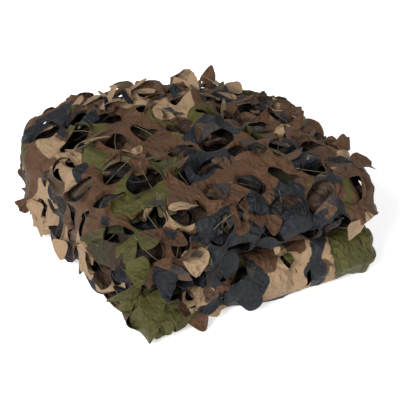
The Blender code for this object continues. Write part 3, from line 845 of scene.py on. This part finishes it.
def surface(cloth, ply):
    """Places, normals and flat places of the strip's corners, with wrinkles and lifted rims."""
    stretch, way, across = (np.array(values) for values in (cloth.stretch, cloth.way, cloth.across))
    lengths = LENGTHS[stretch]
    run = run_of(stretch, way)
    flat = np.stack((across, run, np.full_like(run, ply * PLY_APART)), axis=1)
    inside = smooth(np.minimum(way, 1 - way) * lengths / WARP_FADE_RUN)
    last = float(across_of(LAST_COLUMN))
    within = smooth((across + OVERHANG) / WARP_FADE) * smooth((last - across) / WARP_FADE)
    across = across + LATTICE_WARP * within * noise_at(flat, LATTICE_WARP_SCALE, ply + 41)
    way = way + LATTICE_WARP * inside * noise_at(flat, LATTICE_WARP_SCALE, ply + 43) / lengths
    way = np.clip(way, 0.0, 1.0)
    flat[:, 0] = across
    flat[:, 1] = run_of(stretch, way)
    base, normal = np.zeros((2, len(way), 3))
    for index in np.unique(stretch):
        here = stretch == index
        w, a = way[here], across[here]
        step = NORMAL_STEP / STRETCHES[index][3]
        base[here] = place(index, w, a)
        along = place(index, np.clip(w + step, 0, 1), a) - place(index, np.clip(w - step, 0, 1), a)
        over = place(index, w, a + NORMAL_STEP) - place(index, w, a - NORMAL_STEP)
        cross = np.cross(along, over) * (-1 if index in FACES_IN else 1)
        normal[here] = cross / (np.linalg.norm(cross, axis=1, keepdims=True) + 1e-12)
    wrinkle = sum(relief(flat, row, ply) for row in WRINKLES)
    gather = smooth((GATHER_TO - run) / GATHER_FADE) * smooth((run + BACK_FADE) / BACK_FADE)
    wrinkle += relief(flat, GATHERS, ply, gather * (stretch <= TOP))
    wrinkle += np.array(cloth.lift)
    if not ply:
        wrinkle += main_creases(flat)
    strength = np.where(np.isin(stretch, ENDS_SHOW), 1.0, HIDDEN_WRINKLE)
    hem = smooth((-across - CALM_HEM) / CALM_HEM_FADE)
    base += normal * (wrinkle * strength * (1 - CALM_HEM_SHARE * hem))[:, None]
    base[:, 2] = np.maximum(base[:, 2], BASE_HEIGHT)
    return base, normal, flat


# ---- bending the leaves
def leaf_bend(dice, up, inward, run):
    """Draws a leaf's lift and curl, in degrees, from the table for the way its cloth faces."""
    kinds = LEAVES_UP
    if run < 0.0:
        kinds = LEAVES_BEHIND
    elif up[2] < UNDERSIDE:
        kinds = LEAVES_UNDER
    elif up[2] < FACES_UP:
        kinds = LEAVES_BESIDE
        if abs(inward[2]) > 0.5:
            kinds = LEAVES_HANGING if inward[2] < 0 else LEAVES_STANDING
    elif run < EDGE_ROW:
        kinds = LEAVES_EDGE
    pick = dice.random()
    for share, lift, curl, spread in kinds:
        if pick < share:
            break
        pick -= share
    return lift + dice.uniform(-1, 1) * spread, curl + dice.uniform(-1, 1) * spread


def dog_ear(side, out, dice):
    """Folds a leaf's corner over: new flat places, and how far it then stands off."""
    turn = dice.uniform(*EAR_TURN)
    ahead = np.array((math.cos(turn), math.sin(turn)))
    beyond = np.maximum(side * ahead[0] + out * ahead[1] - dice.uniform(*EAR_FROM), 0.0)
    angle = math.radians(dice.uniform(*EAR_FOLD))
    back = beyond * (1 - math.cos(angle))
    return side - back * ahead[0], out - back * ahead[1], beyond * math.sin(angle)


def into_room(points):
    """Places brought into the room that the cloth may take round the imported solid."""
    low, high = np.array(CAD_BOX)
    room = (high - low) * ROOM_SHARE + ROOM
    return np.clip(points, low - room - PACK_SHIFT, high + room - PACK_SHIFT)


def bent_places(hinge, lift, curl, side, out, seed, ears=DOG_EARS):
    """Places of a leaf's corners. One that would stand out too far lies down more."""
    for share in LIE_DOWN:
        bent = bent_once(hinge, lift * share, curl * share, side, out, seed, ears)
        held = into_room(bent)
        if np.allclose(bent, held, atol=1e-6):
            break
    return held


def bent_once(hinge, lift, curl, side, out, seed, ears):
    """Places of a leaf's corners, from their flat distance beside its middle and off its hinge."""
    dice = random.Random(seed)
    centre, along, inward, up = hinge
    loosely = 1.0 if ears else CALM_TWIST
    twist = loosely * math.radians(dice.uniform(-TWIST, TWIST))
    across_curl = dice.choice((-1, 1, 1)) * min(dice.uniform(*ROLL), MOST_ROLL / np.abs(side).max())
    side = side * (1 - loosely * dice.uniform(*NARROWED) * smooth(out / NARROW_OVER))
    out = out * dice.uniform(*SHORTENED)
    stand = np.zeros_like(out)
    if dice.random() < ears:
        side, out, stand = dog_ear(side, out, dice)
    travel = np.maximum(out, 0.0)[:, None] * np.linspace(0.0, 1.0, BEND_STEPS)[None, :]
    middle = (travel[:, 1:] + travel[:, :-1]) / 2
    turn = np.radians(lift * smooth(middle / FULL_BEND) + curl * middle / CURL_OVER)
    pace = travel[:, 1] - travel[:, 0]
    ahead = np.cos(turn).sum(1) * pace + np.minimum(out, 0.0)
    rise = np.sin(turn).sum(1) * pace
    last = turn[:, -1:]
    outward = -inward * np.sin(last) + up * np.cos(last)
    bend = across_curl * smooth(out / ROLL_WITHIN) + 1e-3
    beside = np.sin(bend * side) / bend
    hollow = (1 - np.cos(bend * side)) / bend + stand
    roll = (twist * smooth(out / TWIST_WITHIN))[:, None]
    one = along * np.cos(roll) + outward * np.sin(roll)
    two = outward * np.cos(roll) - along * np.sin(roll)
    spine = centre + inward * ahead[:, None] + up * rise[:, None]
    return spine + one * beside[:, None] + two * hollow[:, None]


def bend_leaves(cloth, points, normals, flat):
    """Bends each tongue about its hinge. Returns all corners, their flat places, and all faces."""
    all_points, all_flat = [points], [flat]
    faces = list(cloth.faces)
    total = len(points)
    for leaf in cloth.leaves:
        hinge = leaf["hinge"]
        columns = len(hinge)
        a, b = points[hinge[0]], points[hinge[-1]]
        along = unit(b - a)
        normal = normals[hinge[columns // 2]]
        inward = unit(np.cross(along, normal))
        opening = place(leaf["index"], np.array([leaf["way"]]), np.array([leaf["across"]]))[0]
        if (opening - (a + b) / 2) @ inward < 0:
            inward = -inward
        up = np.cross(inward, along)
        up *= 1.0 if up @ normal > 0 else -1.0

        # its flat shape: straight lines from the hinge to places spread along its free edge
        starts, loop = leaf["hinge_flat"], leaf["loop"]
        flat_along = unit(starts[-1] - starts[0])
        flat_in = np.array((-flat_along[1], flat_along[0]))
        flat_in *= 1.0 if (loop.mean(0) - starts[0]) @ flat_in > 0 else -1.0
        lengths = np.concatenate(([0], np.cumsum(np.linalg.norm(np.diff(loop, axis=0), axis=1))))
        shares = np.linspace(*LEAF_SPAN, columns) * lengths[-1]
        tips = np.stack([np.interp(shares, lengths, loop[:, i]) for i in (0, 1)], axis=1)
        ways = (np.arange(1, LEAF_ROWS + 1) / LEAF_ROWS)[:, None, None]
        spots = (starts[None] + (tips - starts)[None] * ways).reshape(-1, 2)
        flat_middle = (starts[0] + starts[-1]) / 2
        side = (spots - flat_middle) @ flat_along
        out = (spots - flat_middle) @ flat_in

        lift, curl = leaf_bend(random.Random(leaf["seed"]), up, inward, leaf["run"] - STARTS[TOP])
        if not HEM_LEAVES < leaf["across"] < RIGHT_LEAVES:
            lift, curl = min(lift, RIGHT_LIFT), min(curl, RIGHT_CURL)
        frame_at = ((a + b) / 2, along, inward, up)
        bent = bent_places(frame_at, lift, curl, side, out, leaf["seed"])
        straight = (a + b) / 2 + along * ((starts - flat_middle) @ flat_along)[:, None]
        bow = points[np.array(hinge)] - straight
        bent += (bow[None] * (1 - ways)).reshape(-1, 3)
        numbers = total + np.arange(len(spots)).reshape(LEAF_ROWS, columns)
        faces += quads([hinge] + numbers.tolist())
        total += len(spots)
        all_points.append(bent)
        ply = np.full(len(spots), flat[hinge[0]][2])
        all_flat.append(np.stack((leaf["across"] + spots[:, 0], leaf["run"] + spots[:, 1], ply), axis=1))
    return np.concatenate(all_points), np.concatenate(all_flat), faces


# ---- single leaves and threads
def loose_leaves():
    """The listed leaves, and after them the drawn ones."""
    dice = random.Random(SEED)
    made = list(LOOSE)
    for kind, fold, run_from, run_to, left, right, count, turn_from, turn_to, colours in DRAWN:
        lengths, widths, lifts, curls = DRAWN_SHAPES[kind]
        for _ in range(count):
            length = dice.uniform(*lengths)
            made.append((
                fold, dice.uniform(run_from, run_to), dice.uniform(left, right),
                dice.uniform(turn_from, turn_to), length, length * dice.uniform(*widths),
                dice.uniform(*lifts), dice.uniform(*curls), dice.choice(colours),
            ))
    return made


def loose_outline(length, width, dice):
    """Flat places of a single leaf, beside its middle and off its hinge, row by row."""
    ragged, rounded = NARROW_SHAPE if width < NARROW_LEAF * length else BROAD_SHAPE
    rows = np.arange(LEAF_ROWS + 1) / LEAF_ROWS
    columns = np.linspace(-1, 1, LOOSE_COLUMNS)
    uneven = 1 + ragged * np.sin(columns * dice.uniform(3, 6) + dice.uniform(0, 6))
    outline = np.sqrt(1 - rounded * columns ** 2) * uneven
    waist = WAIST[0] + WAIST[1] * np.sin(np.minimum(rows * WAIST[2], math.pi / 2))
    side = (columns[None, :] * waist[:, None] * width / 2).ravel()
    return side, (rows[:, None] * outline[None, :] * length).ravel()


def build_leaves(name, strip):
    """The single leaves as one piece, each hinged on the nearest corner of the net's cloth."""
    _, points, normals, flat = strip
    dice = random.Random(SEED + 5)
    new_points, new_flat, new_fields, faces = [], [], [], []
    total = 0
    for number, leaf in enumerate(loose_leaves()):
        fold, run, across, heading, length, width, lift, curl, colour = leaf
        by_hand = number < len(LOOSE)
        spot = np.array((across / 100, RUN_START[fold] + run / 100))
        ahead = np.array((math.cos(math.radians(heading)), math.sin(math.radians(heading))))
        near, other = (int(np.argmin(((flat[:, :2] - spot - step * ahead) ** 2).sum(1)))
                       for step in (0.0, HEADING_STEP))
        up = normals[near]
        inward = points[other] - points[near]
        inward -= up * (inward @ up)
        inward /= np.linalg.norm(inward) + 1e-9
        side, out = loose_outline(length / 1000, width / 1000, dice)
        base = points[near] + up * (LAID_ON if by_hand else TUCKED_IN)
        hinge = (base, np.cross(up, inward), inward, up)
        ears = 0.0 if by_hand else DOG_EARS
        new_points.append(bent_places(hinge, lift, curl, side, out, dice.random(), ears))
        numbers = total + np.arange(len(side)).reshape(LEAF_ROWS + 1, LOOSE_COLUMNS)
        turned = (1, 2, 3, 0) if by_hand else (0, 3, 2, 1)      # printed side up, or down
        faces += [tuple(face[k] for k in turned) for face in quads(numbers.tolist())]
        total += len(side)
        spread = np.stack((side, out, np.zeros_like(side)), axis=1)
        spread += (spot[0], spot[1], dice.uniform(1, 3))
        new_flat.append(spread)
        own = print_fields(spread, placed=False) * OWN_PRINT - OWN_SINK
        if colour < BROWN:
            own[:, colour] += OWN_COLOUR
        new_fields.append(own)
    points, flat, fields = (np.concatenate(parts) for parts in (new_points, new_flat, new_fields))
    return shell(name, points, flat, faces, fields, 0.0)


def build_threads(name, strip):
    """The backing threads that cross some of the openings, as one piece of thin tubes."""
    cloth, points, normals, _ = strip
    dice = random.Random(SEED + 9)
    verts, faces = [], []
    for leaf in cloth.leaves:
        if dice.random() > THREAD_SHARE or leaf["run"] < EDGE_ROW:
            continue
        rim = leaf["rim"]
        start = dice.randrange(len(rim))
        end = (start + len(rim) // 2 + dice.randint(-THREAD_SLANT, THREAD_SLANT)) % len(rim)
        up = normals[rim[start]]
        a, b = points[rim[start]], points[rim[end]]
        ahead = unit(b - a)
        a = a - ahead * THREAD_OVERLAP - up * THREAD_BELOW
        b = b + ahead * THREAD_OVERLAP - up * THREAD_BELOW
        side = unit(np.cross(ahead, up))
        other = np.cross(side, ahead)
        sag = dice.uniform(*THREAD_SAG)
        sway = dice.uniform(-THREAD_SWAY, THREAD_SWAY)
        rings = []
        for k in range(THREAD_STEPS + 1):
            share = k / THREAD_STEPS
            arch = 4 * share * (1 - share)
            middle = blend(a, b, share) - other * sag * arch + side * sway * arch
            rings.append(list(range(len(verts), len(verts) + THREAD_SIDES)))
            for corner in range(THREAD_SIDES):
                angle = 2 * math.pi * corner / THREAD_SIDES
                around = side * math.cos(angle) + other * math.sin(angle)
                at = middle + around * THREAD_RADIUS + PACK_SHIFT
                verts.append((at[0], at[1], max(at[2], 0.0)))
        faces += quads([ring + ring[:1] for ring in rings])
        faces += [tuple(reversed(rings[0])), tuple(rings[-1])]
    return add_mesh(name, verts, faces)


# ---- from corners to pieces
def add_mesh(name, verts, faces):
    """A new object in the scene, with smooth faces."""
    mesh = bpy.data.meshes.new(name)
    mesh.from_pydata(verts, [], faces)
    mesh.shade_smooth()
    return add_object(name, mesh)


def add_object(name, data):
    thing = bpy.data.objects.new(name, data)
    bpy.context.scene.collection.objects.link(thing)
    return thing


def print_fields(flat, placed):
    """How strongly tan, green and navy are printed at flat places; over 0 is that colour."""
    warp = np.stack([noise_at(flat, PRINT_WARP_SCALE, seed) for seed in (21, 22)], axis=1)
    spot = flat.copy()
    spot[:, :2] += warp * PRINT_WARP
    fields = np.stack([noise_at(spot, PRINT_SCALE, 31 + colour) for colour in range(3)], axis=1)
    fields = fields * PRINT_GAIN - np.array(PRINT_LEVELS)
    if not placed:
        return fields
    for fold, rows in PATCHES.items():
        for colour, run, across, half_run, half_across in rows:
            away_run = (spot[:, 1] - RUN_START[fold] - run / 100) / (half_run / 100)
            away_across = (spot[:, 0] - across / 100) / (half_across / 100)
            away = np.hypot(away_run, away_across)
            inside = smooth((1.0 + PATCH_EDGE - away) / (2 * PATCH_EDGE))
            for other in range(3):
                aim = PATCH_STRENGTH if other == colour else -PATCH_STRENGTH
                fields[:, other] = blend(fields[:, other], aim, inside)
    return fields


def shell(name, points, flat, faces, fields, painted_shade):
    """Gives the cloth its two sides, printed and paler back, as one closed mesh, and its painted shade.
    """
    points = np.maximum(points, (-1, -1, 2 * SKIN)) + PACK_SHIFT
    corners = np.array(faces)
    triangles = corners[:, (0, 1, 2, 0, 2, 3)].reshape(-1, 3)
    a, b, c = (points[triangles[:, k]] for k in range(3))
    cross = np.cross(c - a, b - a)
    normal = np.zeros_like(points)
    for k in range(3):
        np.add.at(normal, triangles[:, k], cross)
    normal /= np.linalg.norm(normal, axis=1, keepdims=True) + 1e-12
    count = len(points)
    both = np.concatenate((points + normal * SKIN, points - normal * SKIN))
    both[:, 2] = np.maximum(both[:, 2], 0.0)
    edges = dict.fromkeys((a, b) for face in faces for a, b in zip(face, face[1:] + face[:1]))
    rims = [(a, b, count + b, count + a) for a, b in edges if (b, a) not in edges]
    sides = corners[:, ::-1].tolist() + (corners + count).tolist()
    net = add_mesh(name, both.tolist(), sides + rims)
    attribute = net.data.attributes.new("flat", "FLOAT_VECTOR", "POINT")
    attribute.data.foreach_set("vector", np.tile(flat, (2, 1)).astype(np.float32).ravel())
    values = {label: np.tile(fields[:, k], 2) for k, label in enumerate(("tan", "green", "navy"))}
    values["back"] = np.repeat((0.0, 1.0), count)
    # painted shade: how far the material darkens this cloth, standing in for the shadow inside the pack
    values["painted_shade"] = np.full(2 * count, painted_shade)
    for label, column in values.items():
        attribute = net.data.attributes.new(label, "FLOAT", "POINT")
        attribute.data.foreach_set("value", column.astype(np.float32))
    net.data.set_sharp_from_angle(angle=SHARP)
    return net


def build_net(name, first, last, seed, ply):
    """A stretch of the net: its piece, its flat area, and its strip's corners for what it carries."""
    cloth, area = flat_net(first, last, seed)
    points, normals, flat = surface(cloth, ply)
    strip = (cloth, points, normals, flat)
    points, flat, faces = bend_leaves(cloth, points, normals, flat)
    fields = print_fields(flat, placed=ply == 0)
    if ply:
        fields += np.array(INNER_PRINT)
    # the inner ply takes the full painted shade, the outer ply none
    return shell(name, points, flat, faces, fields, float(ply)), area, strip


# ---- materials
class Nodes:
    """Short calls for a material's nodes and the links between them."""

    def __init__(self, name):
        self.material = bpy.data.materials.new(name)
        self.material.use_nodes = True
        self.tree = self.material.node_tree
        self.shader = self.tree.nodes["Principled BSDF"]

    def feed(self, node, inputs):
        """Links or sets a node's inputs, by their names or numbers."""
        for key, value in inputs.items():
            if isinstance(value, bpy.types.NodeSocket):
                self.tree.links.new(value, node.inputs[key])
            else:
                node.inputs[key].default_value = value

    def add(self, kind, inputs, output, **settings):
        node = self.tree.nodes.new("ShaderNode" + kind)
        for key, value in settings.items():
            setattr(node, key, value)
        self.feed(node, inputs)
        return node.outputs[output]

    def attribute(self, name, output="Fac"):
        return self.add("Attribute", {}, output, attribute_name=name)

    def math(self, operation, a, b=None):
        return self.add("Math", {0: a} if b is None else {0: a, 1: b}, 0, operation=operation)

    def vector(self, operation, a, inputs):
        return self.add("VectorMath", {0: a, **inputs}, 0, operation=operation)

    def noise(self, vector, scale, detail=2.0, roughness=0.5, output="Fac"):
        inputs = {"Vector": vector, "Scale": scale, "Detail": detail, "Roughness": roughness}
        return self.add("TexNoise", inputs, output)

    def step(self, value, edge=0.0, softness=0.03, low=0.0, high=1.0):
        """From low to high as the value passes the edge."""
        inputs = {"Value": value, "From Min": edge - softness, "From Max": edge + softness,
                  "To Min": low, "To Max": high}
        return self.add("MapRange", inputs, "Result", clamp=True)

    def mix(self, share, a, b, how="MIX"):
        inputs = {"Factor": share, COLOUR_A: a, COLOUR_B: b}
        return self.add("Mix", inputs, COLOUR_OUT, data_type="RGBA", blend_type=how)

    def bump(self, strength, distance, **inputs):
        inputs = {"Strength": strength, "Distance": distance, **inputs}
        return self.add("Bump", inputs, "Normal")


def creased(n, vector, scale, strength):
    """Soft cloth between crisp creases."""
    ridge = n.math("ABSOLUTE", n.math("SUBTRACT", n.noise(vector, scale, 1.0), 0.5))
    return n.math("MULTIPLY", ridge, strength)


def cloth_material():
    """Thin cloth: print, paler back, painted shade in the pack, weave, fine creases and a slight sheen.
    """
    n = Nodes("camouflage_cloth")
    flat = n.attribute("flat", "Vector")

    # the print's inks with slightly uneven edges and tone, its paler back, and painted shade inside the
    # pack
    wobble = n.math("MULTIPLY", n.math("SUBTRACT", n.noise(flat, 70.0, 3.0), 0.5), 0.8)
    colour = INK_BROWN
    for label, ink in (("green", INK_GREEN), ("tan", INK_TAN), ("navy", INK_NAVY)):
        colour = n.mix(n.step(n.math("ADD", n.attribute(label), wobble)), colour, ink)
    shade = n.step(n.noise(flat, 24.0, 4.0, 0.6), edge=0.5, softness=0.35, low=0.80, high=1.18)
    tone = n.add("CombineColor", {"Red": shade, "Green": shade, "Blue": shade}, "Color")
    colour = n.mix(1.0, colour, tone, "MULTIPLY")
    paler = n.mix(0.27, colour, BACK_TINT)
    colour = n.mix(n.step(n.attribute("back"), 0.5, 0.1), colour, paler)
    # painted shade: the colour multiplied darker where the cloth lies inside the pack
    painted_shade = n.mix(1.0, colour, PAINTED_SHADE_TINT, "MULTIPLY")
    colour = n.mix(n.attribute("painted_shade"), colour, painted_shade)

    # creases: wide ones drawn out across the strip, small ones, fine facets, stronger in places
    sway = n.vector("SCALE", n.noise(flat, 30.0, 2.0, output="Color"), {"Scale": 0.020})
    bent = n.vector("ADD", flat, {1: sway})
    drawn = n.vector("MULTIPLY", bent, {1: (0.5, 1.1, 1.0)})
    small = creased(n, bent, 66.0, 0.6)
    wide = n.math("ADD", creased(n, drawn, 30.0, 1.6), small)
    fine = n.math("MULTIPLY", n.add("TexVoronoi", {"Vector": bent, "Scale": 120.0}, "Distance"), 0.40)
    where = n.step(n.noise(flat, 14.0, 2.0), edge=0.5, softness=0.12, low=0.35, high=1.1)
    folds = n.math("MULTIPLY", n.math("ADD", wide, fine), where)
    creases = n.bump(0.90, 0.011, Height=folds)

    # the weave: fine waves each way
    threads, fillings = (
        n.add("TexWave", {"Vector": flat, "Scale": 330.0}, "Fac", wave_type="BANDS", bands_direction=way)
        for way in ("X", "Y")
    )
    weave = n.bump(0.25, 0.0003, Height=n.math("MULTIPLY", threads, fillings), Normal=creases)
    rough = n.step(n.noise(flat, 60.0, 2.0), edge=0.5, softness=0.3, low=0.50, high=0.68)
    n.feed(n.shader, {
        "Base Color": colour, "Roughness": rough, "Normal": weave,
        "Sheen Weight": 0.02, "Sheen Roughness": 0.45, "Specular IOR Level": 0.16,
    })
    return n.material


def thread_material():
    """Light green twisted thread."""
    n = Nodes("backing_thread")
    spot = n.add("TexCoord", {}, "Object")
    colour = n.mix(n.noise(spot, 90.0), THREAD_DARK, THREAD_LIGHT)
    twist = n.bump(0.4, 0.0003, Height=n.noise(spot, 1500.0))
    n.feed(n.shader, {"Base Color": colour, "Roughness": 0.6, "Normal": twist})
    return n.material


def dress(piece, material):
    """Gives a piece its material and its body."""
    piece.data.materials.append(material)
    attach(piece, "root")
    return piece


# ---- camera, floor and light
def direction(azimuth, height):
    """From the pack towards a place left of its front by the azimuth, in degrees."""
    azimuth, height = math.radians(azimuth), math.radians(height)
    flat = math.cos(height)
    return Vector((-math.sin(azimuth) * flat, -math.cos(azimuth) * flat, math.sin(height)))


def aim(thing, back):
    """Turns a camera or lamp so that it looks from that direction."""
    thing.rotation_mode = "QUATERNION"
    thing.rotation_quaternion = back.to_track_quat("Z", "Y")


def add_camera():
    """The photo's own view."""
    back = direction(CAMERA_AZIMUTH, CAMERA_HEIGHT)
    turn = math.radians(CAMERA_AZIMUTH)
    right = Vector((math.cos(turn), -math.sin(turn), 0.0))
    up = back.cross(right)
    camera = add_object("camera", bpy.data.cameras.new("camera"))
    camera.data.lens = CAMERA_LENS
    camera.data.sensor_width = 36
    camera.location = CAMERA_TARGET + right * CAMERA_RIGHT + up * CAMERA_UP + back * CAMERA_AWAY
    aim(camera, back)
    bpy.context.scene.camera = camera


def add_studio():
    """A plain pale floor and soft light."""
    corners = [(-FLOOR, -FLOOR, 0), (FLOOR, -FLOOR, 0), (FLOOR, FLOOR, 0), (-FLOOR, FLOOR, 0)]
    mesh = bpy.data.meshes.new("floor")
    mesh.from_pydata(corners, [], [(0, 1, 2, 3)])
    n = Nodes("floor")
    n.feed(n.shader, {
        "Base Color": (0.95, 0.95, 0.95, 1), "Roughness": 0.8,
        "Emission Color": (1, 1, 1, 1), "Emission Strength": FLOOR_GLOW,
    })
    mesh.materials.append(n.material)
    floor = add_object("floor", mesh)
    world = bpy.data.worlds.new("studio")
    world.use_nodes = True
    background = world.node_tree.nodes["Background"]
    background.inputs["Color"].default_value = (1, 1, 1, 1)
    background.inputs["Strength"].default_value = SKY
    bpy.context.scene.world = world
    for name, azimuth, height, strength, softness in LIGHTS:
        light = bpy.data.lights.new(name, "SUN")
        light.energy = strength
        light.angle = math.radians(softness)
        aim(add_object(name, light), direction(azimuth, height))
    bpy.context.scene.view_settings.view_transform = "Standard"


def main():
    cloth = cloth_material()
    thread = thread_material()
    outer, outer_area, strip = build_net("net_outer", 0, LAST_OUTER, SEED, 0)
    inner, inner_area, _ = build_net("net_inner", LAST_OUTER + 1, len(STRETCHES) - 1, SEED + 1, 1)
    leaves = dress(build_leaves("net_leaves", strip), cloth)
    threads = dress(build_threads("net_threads", strip), thread)
    for piece in (dress(outer, cloth), dress(inner, cloth)):
        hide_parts(NODE)
    add_studio()
    add_camera()


main()
